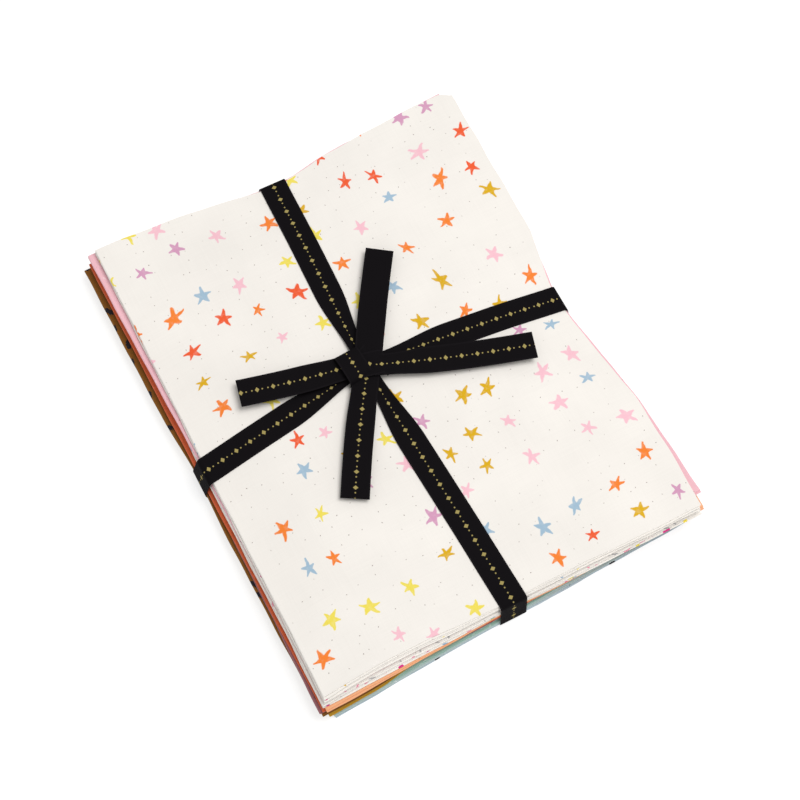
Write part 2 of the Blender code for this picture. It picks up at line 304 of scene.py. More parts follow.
def smooth_slopes(lines, values):
    """Slopes that let a curve pass through the values without overshooting them."""
    steps = np.diff(lines).reshape(-1, *([1] * (values.ndim - 1)))
    rises = np.diff(values, axis=0) / steps
    before, after = rises[:-1], rises[1:]
    same_way = before * after > 0
    total = np.where(same_way, before + after, 1.0)
    inner = np.where(same_way, 2 * before * after / total, 0.0)
    return np.concatenate((rises[:1] * END_SLOPE, inner, rises[-1:] * END_SLOPE))


def smooth_between(lines, values, at):
    """A smooth curve through values given at lines, where values may hold one column for each point."""
    if values.ndim == 1:
        values = np.repeat(values[:, None], at.size, axis=1)
    slopes = smooth_slopes(lines, values)
    index = np.clip(np.searchsorted(lines, at) - 1, 0, len(lines) - 2)
    column = np.arange(at.size)
    width = lines[index + 1] - lines[index]
    inside = np.clip(at, lines[0], lines[-1])
    share = (inside - lines[index]) / width
    start, end = values[index, column], values[index + 1, column]
    rise_in, rise_out = slopes[index, column] * width, slopes[index + 1, column] * width
    found = (
        start * (1 + 2 * share) * (1 - share) ** 2
        + rise_in * share * (1 - share) ** 2
        + end * share**2 * (3 - 2 * share)
        - rise_out * share**2 * (1 - share)
    )
    beyond = np.where(at > lines[-1], slopes[-1, column], slopes[0, column])
    return found + (at - inside) * beyond


def top_share(x, y):
    """Height of the stack's top at points in plan, as a share of STACK."""
    rows = np.array([smooth_between(LINES_X, row, x) for row in TOP_SHARE])
    return smooth_between(LINES_Y, rows, y)


def ribbon_nearness(x, y):
    """1 under a ribbon on top of the stack, falling to 0 away from it."""
    along = (y - NEAR_EDGE) / (FAR_EDGE - NEAR_EDGE)
    across = (x - LEFT_EDGE) / (RIGHT_EDGE - LEFT_EDGE)
    line_x = mix(HOLD_NEAR.ribbon_at, HOLD_FAR.ribbon_at, along)
    line_y = mix(HOLD_LEFT.ribbon_at, HOLD_RIGHT.ribbon_at, across)
    near_long = np.exp(-(((x - line_x) / CALM_REACH) ** 2))
    near_cross = np.exp(-(((y - line_y) / CALM_REACH) ** 2))
    return np.maximum(near_long, near_cross)


def wrinkles(x, y):
    """Soft puckers of the top cloths, in mm, which run out from where the ribbon cinches the edges."""
    total = LONG_WAVE * np.sin(x / LONG_LENGTH + SWAY * np.sin(y / SWAY_LENGTH))
    for wave in WAVES:
        total += wave.height * np.sin(x / wave.length_x + y / wave.length_y + wave.phase)
    for pleats in PLEATS:
        off = (x - pleats.x, y - pleats.y)
        pucker = np.exp(-((off[0] / pleats.reach_x) ** 2) - (off[1] / pleats.reach_y) ** 2)
        total += pleats.height * pucker * np.cos(off[pleats.axis] / pleats.spacing)
    return total * (1 - CALM * ribbon_nearness(x, y))


def lift(x, y):
    """How far the ribbons below raise the stack's foot."""
    long_way = smooth_between(LINES_X, LIFT_X, x)
    cross_way = smooth_between(LINES_Y, LIFT_Y, y)
    return long_way + cross_way * (1 - long_way / LIFT_X.max())


def pressed(x, y, loose):
    """The height, in the tied stack, of a point that stands at loose in the untied one."""
    share = loose / STACK
    return loose * top_share(x, y) + lift(x, y) * (1 - share) + wrinkles(x, y) * share**3


def waviness(at, seed, size):
    """A gentle repeatable wave along an edge, about size mm high."""
    draw = np.random.default_rng(seed)
    total = np.zeros_like(at)
    for length in WAVE_LENGTHS:
        wave = np.sin(at / length * 2 * np.pi + draw.uniform(0, 2 * np.pi))
        total += wave * draw.uniform(*WAVE_SHARES)
    return total * size / 2


def straight(start, end, at, axis):
    """Where the line between two corners lies on one axis, at places along the other."""
    other = 1 - axis
    return mix(start[axis], end[axis], (at - start[other]) / (end[other] - start[other]))


def swelling(at, swell):
    """How far a part of an edge stands out at each place along it."""
    risen = smooth_step(at, swell.rise_start, swell.rise_end)
    return swell.size * (risen - smooth_step(at, swell.fall_start, swell.fall_end))


class Plan:
    """Where a folded piece's edges run in plan, each leaf's raw edges a little out of line."""

    def __init__(self, quarter, index):
        self.quarter = quarter
        self.index = index
        self.share = (len(QUARTERS) - 0.5 - index) * PITCH / STACK
        draw = np.random.default_rng(STEP_SEED + index)
        self.right_step = draw.uniform(*RIGHT_STEPS, (2, 2))
        self.far_step = draw.uniform(*FAR_STEPS, (2, 2))

    def pulled_in(self, edge, at, hold):
        """The edge, brought in to where the ribbon holds it and less so away from there."""
        outward = math.copysign(1.0, hold.top)
        heights = (0.0, HOLD_MIDDLE, 1.0)
        line = np.interp(self.share, heights, (hold.foot, hold.middle, hold.top))
        line -= outward * ROUNDED_OFF * smooth_step(self.share, ROUNDED_FROM, 1.0)
        distance = np.maximum(np.abs(at - hold.ribbon_at) - PULLED_HALF, 0.0)
        reach = np.where(at < hold.ribbon_at, hold.reach_below, hold.reach_above)
        taper = EVEN_PULL * np.clip(1 - distance / reach, 0, 1)
        taper += CLOSE_PULL * np.exp(-distance / CLOSE_REACH)
        excess = np.maximum((edge - line) * outward, 0.0)
        return edge - outward * excess * taper

    def left(self, y):
        edge = straight(self.quarter.near_left, self.quarter.far_left, y, 0)
        edge += waviness(y, LEFT_SEED + self.index, SPINE_WAVE)
        return self.pulled_in(edge, y, HOLD_LEFT)

    def right(self, y, run, upper):
        edge = straight(self.quarter.near_right, self.quarter.far_right, y, 0)
        edge += self.right_step[run][0]
        edge += np.where(upper, self.right_step[run][1] * UPPER_LEAF, 0.0)
        edge += waviness(y, RIGHT_SEED + self.index * 4 + run * 2, RAW_WAVE)
        if self.index == 0:
            edge += swelling(y, TOP_BULGE)
        return self.pulled_in(edge, y, HOLD_RIGHT)

    def near(self, x, run):
        edge = straight(self.quarter.near_left, self.quarter.near_right, x, 1)
        edge += NEAR_STEP * (run - 0.5)
        bow = sum(share * np.exp(-(((x - middle) / reach) ** 2)) for middle, reach, share in HOLLOWS)
        edge += self.quarter.bow * bow * smooth_step(x, *BOW_START)
        edge += self.quarter.tuck * smooth_step(x, *TUCK_START)
        edge += waviness(x, NEAR_SEED + self.index * 2 + run, FOLD_WAVE)
        return self.pulled_in(edge, x, HOLD_NEAR)

    def far(self, x, run, upper):
        edge = straight(self.quarter.far_left, self.quarter.far_right, x, 1)
        edge += np.where(upper, self.far_step[run][0], self.far_step[run][1])
        edge += waviness(x, FAR_SEED + self.index * 4 + run, RAW_WAVE)
        if self.index == 0:
            edge += swelling(x, TOP_CORNER)
        if self.quarter.name == "quarter_03_pale_pink":
            edge += swelling(x, PINK_SAG)
        return self.pulled_in(edge, x, HOLD_FAR)


def closed_mesh(name, rings, flat):
    """A closed sheet from section loops: rings is (stations, loop, 3) in mm, flat its UVs in mm.

    The second half of each loop runs back along the sheet's other face.
    """
    stations, count, _ = rings.shape
    index = np.arange(stations * count).reshape(stations, count)
    after = np.roll(index, -1, axis=1)
    sides = np.stack((index[:-1], index[1:], after[1:], after[:-1]), axis=-1).reshape(-1, 4)
    step = np.arange(count // 2 - 1)
    caps = []
    for ring, turned in ((index[0], False), (index[-1], True)):
        cap = np.stack((ring[step], ring[step + 1], ring[count - 2 - step], ring[count - 1 - step]), -1)
        caps.append(cap[:, ::-1] if turned else cap)
    faces = np.concatenate((sides, *caps))
    points = rings.reshape(-1, 3)
    a, b, c, d = (points[faces[:, k]] for k in range(4))
    volume = (a * (np.cross(b, c) + np.cross(c, d))).sum()
    if volume < 0:
        faces = faces[:, ::-1]
    mesh = bpy.data.meshes.new(name)
    mesh.vertices.add(len(points))
    mesh.vertices.foreach_set("co", ((points - ORIGIN) * MM).ravel())
    mesh.loops.add(faces.size)
    mesh.loops.foreach_set("vertex_index", faces.ravel())
    mesh.polygons.add(len(faces))
    mesh.polygons.foreach_set("loop_start", np.arange(0, faces.size, 4))
    mesh.update(calc_edges=True)
    layer = mesh.uv_layers.new(name="flat")
    layer.data.foreach_set("uv", (flat.reshape(-1, 2)[faces.ravel()] * MM).ravel())
    mesh.shade_smooth()
    mesh.set_sharp_from_angle(angle=SHARP_ANGLE)
    mesh.validate()
    return mesh


def link(name, mesh, material):
    """Adds a piece to the scene, riding on the bundle's one body."""
    mesh.materials.append(material)
    obj = bpy.data.objects.new(name, mesh)
    bpy.context.scene.collection.objects.link(obj)
    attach(obj, "root")
    return obj


def grid_line(half, spacing):
    """Places across the cloth's plain middle, and how far each lies towards its two edges."""
    inner = np.arange(-half, half + 0.1, spacing)
    margin = np.ones(len(EDGE_STEPS))
    base = np.concatenate((margin * inner[0], inner, margin * inner[-1]))
    none = np.zeros(len(inner) + len(EDGE_STEPS))
    return base, np.concatenate((EDGE_STEPS[::-1], none)), np.concatenate((none, EDGE_STEPS))


def folded_cloth(quarter, index, spacing):
    """The mesh of one cloth, folded in half twice.

    Its stations run from the right edge of the lower half, round the spine at the left, to that of
    the upper half. At each a loop goes round the cloth's section: along the outer leaf to the near
    fold, back along the inner one, and home along the other face.
    """
    plan = Plan(quarter, index)
    foot = (len(QUARTERS) - 1 - index) * PITCH
    base_x, low_x, high_x = grid_line(INNER_X, spacing)
    base_y, low_y, high_y = grid_line(INNER_Y, spacing)
    last_column, last_row = len(base_x) - 1, len(base_y) - 1
    spine = np.linspace(-math.pi / 2, math.pi / 2, SPINE_STEPS + 1)
    fold = np.linspace(math.pi / 2, -math.pi / 2, LEAF_STEPS + 1)

    under = [(column, -math.pi / 2) for column in range(last_column, 0, -1)]
    over = [(column, math.pi / 2) for column in range(1, last_column + 1)]
    stations = np.array(under + [(0, angle) for angle in spine] + over)
    outer = [(row, math.pi / 2) for row in range(last_row, 0, -1)]
    outer += [(0, angle) for angle in fold]
    outer += [(row, -math.pi / 2) for row in range(1, last_row + 1)]
    home = [(row, angle, LEAF_GAP / 2) for row, angle in reversed(outer)]
    loop = np.array([(row, angle, PAIR / 2) for row, angle in outer] + home)

    column, spine_angle = stations.T[:, :, None]
    row, leaf_angle, leaf_radius = loop.T[:, None]
    column, row = column.astype(int), row.astype(int)
    over_run = spine_angle > 0
    upper_leaf = np.where(over_run, leaf_angle, -leaf_angle) > 0

    base_x, low_x, high_x = base_x[column], low_x[column], high_x[column]
    base_y, low_y, high_y = base_y[row], low_y[row], high_y[row]

    x, y = np.broadcast_arrays(base_x, base_y)
    for _ in range(SETTLING_ROUNDS):
        near = np.where(over_run, plan.near(x, 1), plan.near(x, 0))
        far = np.where(over_run, plan.far(x, 1, upper_leaf), plan.far(x, 0, upper_leaf))
        y = base_y + low_y * (near - base_y) + high_y * (far - base_y)
        left = plan.left(y)
        right = np.where(over_run, plan.right(y, 1, upper_leaf), plan.right(y, 0, upper_leaf))
        x = base_x + low_x * (left - base_x) + high_x * (right - base_x)

    flat_x = x - plan.left(y)
    flat_y = y - np.where(over_run, plan.near(x, 1), plan.near(x, 0))
    radius = SPINE_RADIUS + leaf_radius * np.sin(leaf_angle)
    at_spine = column == 0
    at_fold = row == 0
    x = x + np.where(at_spine, FOLDED / 2 - radius * np.cos(spine_angle), 0.0)
    y = y + np.where(at_fold, PAIR / 2 - leaf_radius * np.cos(leaf_angle), 0.0)
    loose = foot + FOLDED / 2 + radius * np.sin(spine_angle)
    z = pressed(x.ravel(), y.ravel(), loose.ravel()).reshape(x.shape)

    across = np.where(at_spine, SPINE_MEASURE * spine_angle, np.sign(spine_angle) * (SPINE_HALF + flat_x))
    along = np.where(at_fold, FOLD_MEASURE * leaf_angle, np.sign(leaf_angle) * (FOLD_HALF + flat_y))
    return closed_mesh(quarter.name, np.stack((x, y, z), -1), np.stack((across, along), -1))


def resampled(points, spacing):
    """The path with a point about every spacing mm, and all of its own points kept."""
    found = [points[0]]
    for start, end in zip(points, points[1:]):
        count = max(int(math.ceil(np.linalg.norm(end - start) / spacing)), 1)
        found += [mix(start, end, step / count) for step in range(1, count + 1)]
    return np.array(found)


def arc(corner, into, out, radius):
    """Points of an arc that rounds a sharp corner between two unit directions."""
    turn = math.acos(float(np.clip(np.dot(into, out), -1, 1)))
    if turn < STRAIGHT:
        return [corner]
    centre = corner + (out - into) / np.linalg.norm(out - into) * (radius / math.cos(turn / 2))
    reach = radius * math.tan(turn / 2)
    start = Vector(corner - into * reach - centre)
    axis = Vector(np.cross(into, out)).normalized()
    return [
        centre + np.array(Matrix.Rotation(turn * step / ARC_STEPS, 3, axis) @ start)
        for step in range(ARC_STEPS + 1)
    ]


def unit(vector):
    return vector / np.linalg.norm(vector)


def on_top(x, y, rise):
    """Points a little above the stack's top, where a ribbon's middle lies."""
    height = pressed(x, y, np.full(x.shape, STACK))
    return np.stack((x, y, height + RIBBON_REST + rise), -1)


def band_half(band, hold):
    """From the knot over the top to an edge, and the corners of its way down to the foot."""
    edge = np.array((hold.top, hold.ribbon_at) if band.axis == 0 else (hold.ribbon_at, hold.top))
    way = unit(edge - KNOT)
    start = KNOT + way * BAND_START
    run = np.linalg.norm(edge - start)
    distance = np.arange(0.0, run - SHOULDER - SHOULDER_ROOM, STATION)
    plan = start + way * distance[:, None]
    rise = KNOT_RISE * (1 - smooth_step(distance, 0.0, KNOT_SLOPE))
    top = on_top(plan[:, 0], plan[:, 1], rise)
    outward = np.zeros(3)
    outward[band.axis] = math.copysign(RIBBON_OUT, hold.top)
    brink = on_top(edge[:1], edge[1:], 0.0)[0] + outward
    side_way = brink.copy()
    side_way[2] *= HOLD_MIDDLE
    side_way[band.axis] += hold.middle - hold.top
    foot = brink.copy()
    foot[2] = band.underside + RIBBON_THICK / 2
    foot[band.axis] += hold.foot - hold.top
    return top, [brink, side_way, foot]


def band_path(band):
    """From the knot to one edge, under the stack, and up the other edge to the knot again."""
    top, down = band_half(band, band.start)
    back_top, back_down = band_half(band, band.end)
    path = list(top)
    corner_run = [top[-1], *down, *back_down[::-1], back_top[-1]]
    turns = (SHOULDER, SIDE_TURN, FOOT_TURN, FOOT_TURN, SIDE_TURN, SHOULDER)
    for before, corner, after, turn in zip(corner_run, corner_run[1:], corner_run[2:], turns):
        path += arc(corner, unit(corner - before), unit(after - corner), turn)
    path += list(back_top[::-1])
    return resampled(np.array(path), STATION)


def neck(path):
    """Full width away from the knot, drawn in where the ribbon enters it."""
    reach = np.hypot(path[:, 0] - KNOT[0], path[:, 1] - KNOT[1]) - KNOT_RADIUS
    width = mix(NECK_WIDTH, RIBBON_WIDTH, smooth_step(reach, NECK_START, NECK_REACH))
    return np.where(path[:, 2] < STACK / 2, RIBBON_WIDTH, width)


def strip_mesh(name, path, side, width, cup, face_up=True):
    """A flat closed ribbon along a path; side is its width's way, cup how far its edges bend up.

    The motif is on the ribbon's face; on its back the flat measure is moved by BACK_SHIFT.
    """
    tangent = np.gradient(path, axis=0)
    tangent /= np.linalg.norm(tangent, axis=1)[:, None]
    side = np.broadcast_to(side, path.shape)
    across = side - tangent * np.einsum("ij,ij->i", side, tangent)[:, None]
    across /= np.linalg.norm(across, axis=1)[:, None]
    normal = np.cross(across, tangent)
    share = np.linspace(-1.0, 1.0, STRIP_COLUMNS + 1)
    width = np.broadcast_to(width, len(path))
    cup = np.broadcast_to(cup, len(path))
    lateral = width[:, None] / 2 * share[None, :]
    raised = cup[:, None] * share[None, :] ** 2
    middle = path[:, None] + across[:, None] * lateral[..., None] + normal[:, None] * raised[..., None]
    half = normal[:, None] * (RIBBON_THICK / 2)
    rings = np.concatenate((middle + half, (middle - half)[:, ::-1]), axis=1)
    length = np.concatenate(([0.0], np.cumsum(np.linalg.norm(np.diff(path, axis=0), axis=1))))
    sideways = np.broadcast_to(RIBBON_WIDTH / 2 * share, lateral.shape)
    flat = np.stack((np.broadcast_to(length[:, None], lateral.shape), sideways), -1)
    back = flat + np.array((0.0, BACK_SHIFT))
    upper, lower = (flat, back) if face_up else (back, flat)
    return closed_mesh(name, rings, np.concatenate((upper, lower[:, ::-1]), axis=1)), length[-1]


def tail_path(tail):
    """From inside the knot, down on to the cloth and out to the free end."""
    start, end = np.array((tail.start_x, tail.start_y)), np.array((tail.end_x, tail.end_y))
    way = unit(end - start)
    share = np.linspace(0.0, 1.0, TAIL_STATIONS)[:, None]
    sideways = np.array((-way[1], way[0])) * tail.curl * TAIL_BEND
    plan = mix(start, end, share) + sideways * np.sin(share * math.pi)
    heights = mix(mix(tail.root_z, tail.belly_z, share), mix(tail.belly_z, tail.end_z, share), share)
    ripple = TAIL_RIPPLE * np.sin(share * RIPPLE_TURN + tail.curl * RIPPLE_SHIFT)
    ripple *= share * (RIPPLE_END - share)
    return np.concatenate((plan, heights + ripple), axis=1), way


# Materials, each made from nodes over the sheet's own flat measure in metres

class Nodes:
    """Adds nodes to one material, each call giving the output to join to the next."""

    def __init__(self, name):
        self.material = bpy.data.materials.new(name)
        self.material.use_nodes = True
        self.tree = self.material.node_tree

    def add(self, kind, inputs=(), output=0, **settings):
        node = self.tree.nodes.new(kind)
        for key, value in settings.items():
            setattr(node, key, value)
        for key, value in dict(inputs).items():
            self.join(value, node.inputs[key])
        return node.outputs[output]

    def join(self, value, socket):
        if isinstance(value, bpy.types.NodeSocket):
            self.tree.links.new(value, socket)
        elif isinstance(value, tuple) and len(value) == 3 and socket.type == "RGBA":
            socket.default_value = (*value, 1.0)
        else:
            socket.default_value = value

    def math(self, operation, first, second=0.0, third=0.0):
        return self.add("ShaderNodeMath", {0: first, 1: second, 2: third}, operation=operation)

    def times(self, first, second):
        return self.math("MULTIPLY", first, second)

    def times_plus(self, first, second, third):
        return self.math("MULTIPLY_ADD", first, second, third)

    def minus(self, first, second):
        return self.math("SUBTRACT", first, second)

    def vector(self, operation, first, second=(0.0, 0.0, 0.0), output=0):
        return self.add("ShaderNodeVectorMath", {0: first, 1: second}, output, operation=operation)

    def scaled(self, vector, scale):
        return self.add("ShaderNodeVectorMath", {0: vector, "Scale": scale}, operation="SCALE")

    def mix(self, share, first, second):
        node = self.tree.nodes.new("ShaderNodeMix")
        node.data_type = "RGBA"
        self.join(share, node.inputs["Factor"])
        self.join(first, node.inputs[6])
        self.join(second, node.inputs[7])
        return node.outputs[2]

    def noise(self, vector, scale, detail=2.0, output=0):
        inputs = {"Vector": vector, "Scale": scale, "Detail": detail}
        return self.add("ShaderNodeTexNoise", inputs, output, noise_dimensions="2D")

    def ramp(self, value, stops):
        node = self.tree.nodes.new("ShaderNodeValToRGB")
        node.color_ramp.interpolation = "CONSTANT"
        while len(node.color_ramp.elements) < len(stops):
            node.color_ramp.elements.new(0.5)
        for element, (place, colour) in zip(node.color_ramp.elements, stops):
            element.position = place
            element.color = (*colour, 1.0)
        self.join(value, node.inputs[0])
        return node.outputs[0]

    def finish(self, settings):
        """Sets the material's shader."""
        for key, value in settings.items():
            self.join(value, self.tree.nodes["Principled BSDF"].inputs[key])


def linear(red, green, blue):
    """A screen colour, 0 to 255, as the linear colour that a shader takes."""
    channels = (value / 255 for value in (red, green, blue))
    return tuple(c / 12.92 if c <= 0.04045 else ((c + 0.055) / 1.055) ** 2.4 for c in channels)


# How much light falls on the cloth, and the palest that a dye may be
LIGHT_LEVEL = 1.05
PALEST = 0.95


def dye(red, green, blue):
    """The cloth's own colour that comes out as this screen colour under the scene's light."""
    return tuple(min(c / LIGHT_LEVEL, PALEST) for c in linear(red, green, blue))


def split(nodes, value, kind="ShaderNodeSeparateXYZ"):
    node = nodes.tree.nodes.new(kind)
    nodes.join(value, node.inputs[0])
    return node.outputs


def cells(nodes, flat, size, randomness, shift):
    """Scattered points: (offset from the nearest one in mm, three random numbers of that point)."""
    moved = nodes.vector("ADD", flat, shift)
    scaled = nodes.scaled(moved, 1 / (size * MM))
    node = nodes.tree.nodes.new("ShaderNodeTexVoronoi")
    node.voronoi_dimensions = "2D"
    nodes.join(scaled, node.inputs["Vector"])
    node.inputs["Scale"].default_value = 1.0
    node.inputs["Randomness"].default_value = randomness
    offset = nodes.vector("SUBTRACT", scaled, node.outputs["Position"])
    offset = nodes.scaled(offset, size)
    return offset, split(nodes, node.outputs["Color"], "ShaderNodeSeparateColor")


def soft_mask(nodes, inside, softness):
    """1 where inside is above zero, with an edge softness mm wide."""
    value = nodes.times_plus(inside, 1.0 / softness, 0.5)
    return nodes.add("ShaderNodeClamp", {"Value": value})


def shaky(nodes, flat, scale, size):
    """A small offset in the cloth's plane that changes smoothly from place to place."""
    centred = nodes.vector("SUBTRACT", nodes.noise(flat, scale, 1.0, output=1), (0.5, 0.5, 0.5))
    return nodes.vector("MULTIPLY", centred, (size, size, 0.0))


# The printed stars: the size of their cells, how loosely they lie, and the wobble of their places
# and of their outlines, as a scale and a size
STAR_POINTS = 5
HALF_POINT = math.pi / STAR_POINTS
STAR_CELL = 25.0
STAR_LOOSENESS = 0.5
STAR_SHIFT = (0.213, 0.171, 0.0)
PLACE_WOBBLE = (14.0, 0.022)
LINE_WOBBLE = (230.0, 1.5)

# Their arms: the length, half the width at root and tip, how much longer some are and how that turns
# from star to star; the smallest size and the range above it, the edge's softness, the share left out
ARM_LENGTH = 4.4
ARM_ROOT = 1.6
ARM_TIP = 0.46
ARM_CHANGE = 0.12
ARM_LEAN = 6.0
SIZE_LEAST = 0.84
SIZE_RANGE = 0.34
STAR_SOFTNESS = 0.4
LEFT_OUT = 0.06


def stars(nodes, flat):
    """Scattered five-armed stars with blunt tips: (mask, random number of each star)."""
    warped = nodes.vector("ADD", flat, shaky(nodes, flat, *PLACE_WOBBLE))
    offset, chance = cells(nodes, warped, STAR_CELL, STAR_LOOSENESS, STAR_SHIFT)
    offset = nodes.vector("ADD", offset, shaky(nodes, flat, *LINE_WOBBLE))
    grown = nodes.times_plus(chance[2], SIZE_RANGE, SIZE_LEAST)
    offset = nodes.scaled(offset, nodes.math("DIVIDE", 1.0, grown))
    place = split(nodes, offset)
    distance = nodes.vector("LENGTH", offset, output=1)
    heading = nodes.math("ARCTAN2", place[1], place[0])
    turned = nodes.times_plus(chance[0], 2 * math.pi, heading)
    within = nodes.math("FLOORED_MODULO", turned, 2 * HALF_POINT)
    from_arm = nodes.math("ABSOLUTE", nodes.minus(within, HALF_POINT))
    lean = nodes.times_plus(chance[2], ARM_LEAN, nodes.times(heading, 2.0))
    limb = nodes.math("SINE", lean)
    arm = nodes.times(nodes.times_plus(limb, ARM_CHANGE, 1.0), ARM_LENGTH)
    out = nodes.times(distance, nodes.math("COSINE", from_arm))
    beside = nodes.times(distance, nodes.math("SINE", from_arm))
    past = nodes.math("MAXIMUM", nodes.minus(out, arm), 0.0)
    share = nodes.math("MINIMUM", nodes.math("DIVIDE", out, arm), 1.0)
    half_width = nodes.times_plus(share, ARM_TIP - ARM_ROOT, ARM_ROOT)
    squares = nodes.times_plus(past, past, nodes.times(beside, beside))
    aside = nodes.math("SQRT", squares)
    mask = soft_mask(nodes, nodes.minus(half_width, aside), STAR_SOFTNESS)
    drawn = nodes.math("GREATER_THAN", chance[1], LEFT_OUT)
    return nodes.times(mask, drawn), chance[1]


# Small marks: how loosely they lie, their outlines' wobble as a scale and a share of the width, and
# their edges' softness
MARK_LOOSENESS = 0.9
MARK_WOBBLE = (700.0, 0.6)
MARK_SOFTNESS = 0.18


def marks(nodes, flat, size, length, width, kept, shift):
    """Scattered small marks, length by width mm: (mask, random number of each mark)."""
    offset, chance = cells(nodes, flat, size, MARK_LOOSENESS, shift)
    angle = nodes.times(chance[0], 2 * math.pi)
    inputs = {"Vector": offset, "Angle": angle}
    turned = nodes.add("ShaderNodeVectorRotate", inputs, rotation_type="Z_AXIS")
    scale, share = MARK_WOBBLE
    turned = nodes.vector("ADD", turned, shaky(nodes, flat, scale, width * share))
    stretched = nodes.vector("DIVIDE", turned, (length / 2, width / 2, 1.0))
    distance = nodes.vector("LENGTH", stretched, output=1)
    inside = nodes.times(nodes.minus(1.0, distance), width / 2)
    mask = soft_mask(nodes, inside, MARK_SOFTNESS)
    drawn = nodes.math("LESS_THAN", chance[1], kept)
    return nodes.times(mask, drawn), chance[2]


# Cotton: its cloudy tone, the noise of its slubs along and across a thread, and its weave
CLOUD_SCALE = 26.0
CLOUD_DEPTH = 0.05
THREAD_ALONG = 30.0
THREAD_ACROSS = 2200.0
SLUB_DEPTH = 0.04
SLUB_RELIEF = 3.0
WEAVE_RELIEF = 0.5
WEAVE_PITCH = 0.42
WEAVE_DEPTH = 0.03 * MM


def cotton(name, base, prints):
    """Plain-woven cotton: dyed colour, printed marks, cloudy tone, slubs and the weave's bump."""
    nodes = Nodes(name)
    flat = nodes.add("ShaderNodeUVMap", uv_map="flat")
    colour = prints(nodes, flat, base)
    cloud = nodes.noise(flat, CLOUD_SCALE, 3.0)
    cloud = nodes.times_plus(cloud, CLOUD_DEPTH * 2, 1.0 - CLOUD_DEPTH)
    stretched_x = nodes.vector("MULTIPLY", flat, (THREAD_ALONG, THREAD_ACROSS, 1.0))
    stretched_y = nodes.vector("MULTIPLY", flat, (THREAD_ACROSS, THREAD_ALONG, 1.0))
    thread_x = nodes.noise(stretched_x, 1.0, 1.0)
    thread_y = nodes.noise(stretched_y, 1.0, 1.0)
    slub = nodes.times(nodes.math("ADD", thread_x, thread_y), 0.5)
    slub = nodes.times_plus(slub, SLUB_DEPTH * 2, 1.0 - SLUB_DEPTH)
    tone = nodes.times(cloud, slub)
    shaded = nodes.scaled(colour, tone)
    place = split(nodes, flat)
    turn = 2 * math.pi / (WEAVE_PITCH * MM)
    warp = nodes.math("SINE", nodes.times(place[0], turn))
    weft = nodes.math("SINE", nodes.times(place[1], turn))
    weave = nodes.times(warp, weft)
    height = nodes.times_plus(slub, SLUB_RELIEF, nodes.times(weave, WEAVE_RELIEF))
    bump = nodes.add("ShaderNodeBump", {"Strength": 0.35, "Distance": WEAVE_DEPTH, "Height": height})
    nodes.finish({
        "Base Color": shaded,
        "Normal": bump,
        "Roughness": 0.9,
        "Sheen Weight": 0.12,
        "Sheen Roughness": 0.5,
        "Specular IOR Level": 0.2,
    })
    return nodes.material


CREAM = dye(246, 241, 234)
INK = dye(40, 38, 44)
MAGENTA = dye(222, 52, 140)

# Flecks: cell, length, width and the share kept, their shift, and how strong they are; the factor
# that shuffles the stars' dyes; and how far the stars are washed out
FLECK_BROWN = dye(120, 104, 92)
FLECK = (8.5, 0.75, 0.5, 0.62)
FLECK_SHIFT = (0.31, 0.11, 0.0)
STAR_FLECK_SHIFT = (0.07, 0.02, 0.0)
FLECK_LEAST = 0.2
FLECK_RANGE = 0.62
SHUFFLE = 7.31
WASH_SCALE = 420.0
WASH_LEAST = 0.74
WASH_RANGE = 0.5

# The stars' dyes, each with the place in a shuffled draw from which it is used
STAR_DYES = (
    (0.00, dye(244, 96, 52)),
    (0.13, dye(250, 134, 52)),
    (0.26, dye(224, 176, 26)),
    (0.40, dye(243, 224, 92)),
    (0.52, dye(250, 196, 208)),
    (0.74, dye(216, 158, 190)),
    (0.87, dye(164, 192, 212)),
)


def flecked(nodes, flat, colour, shift):
    """Tiny grey-brown flecks, as unbleached cotton has."""
    fleck, chance = marks(nodes, flat, *FLECK, shift)
    strength = nodes.times_plus(chance, FLECK_RANGE, FLECK_LEAST)
    return nodes.mix(nodes.times(fleck, strength), colour, FLECK_BROWN)


def star_print(nodes, flat, base):
    """Stars in several dyes, each a little washed out in places, on flecked cream."""
    mask, chance = stars(nodes, flat)
    ink = nodes.ramp(nodes.math("FRACT", nodes.times(chance, SHUFFLE)), STAR_DYES)
    wash = nodes.times_plus(nodes.noise(flat, WASH_SCALE), WASH_RANGE, WASH_LEAST)
    wash = nodes.add("ShaderNodeClamp", {"Value": wash})
    cream = flecked(nodes, flat, base, STAR_FLECK_SHIFT)
    return nodes.mix(nodes.times(mask, wash), cream, ink)


def scattered(cell, length, width, kept, dyes, shift, flecks=True):
    """A print of marks, length by width mm, in cells of their own, of which a share is kept."""

    def paint(nodes, flat, base):
        colour = flecked(nodes, flat, base, FLECK_SHIFT) if flecks else base
        mask, chance = marks(nodes, flat, cell, length, width, kept, (shift, shift * 0.37, 0.0))
        stops = [(place / len(dyes), ink) for place, ink in enumerate(dyes)]
        ink = nodes.ramp(chance, stops) if len(stops) > 1 else dyes[0]
        return nodes.mix(mask, colour, ink)

    return paint


